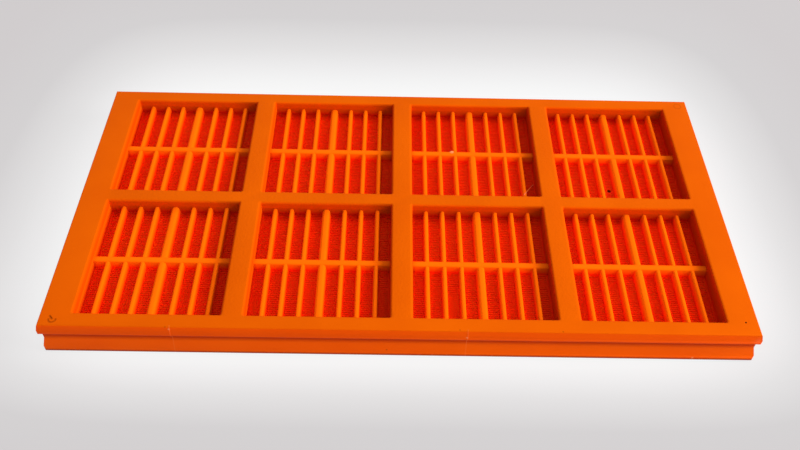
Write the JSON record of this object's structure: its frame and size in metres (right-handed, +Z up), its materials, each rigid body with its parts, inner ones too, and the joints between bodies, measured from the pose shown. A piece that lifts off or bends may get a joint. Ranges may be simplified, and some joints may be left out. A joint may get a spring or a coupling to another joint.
{
  "type": "polyurethane screen panel",
  "caption": "Flat cast polyurethane screen panel with deep rectangular pockets, slim stiffening ribs over a slotted floor, and a grooved snap-in edge all round.",
  "frame": {"origin": "middle of the screening face, on the surface that the panel lies on", "axes": "+X along the length, +Y across the width away from the viewer, +Z up from the screening face to the pocketed support side"},
  "size_m": [0.61, 0.305, 0.037],
  "materials": {
    "polyurethane": "satin, cast, slightly translucent orange"
  },
  "bodies": {
    "root": {"screen_panel": "polyurethane"}
  },
  "joints": []
}
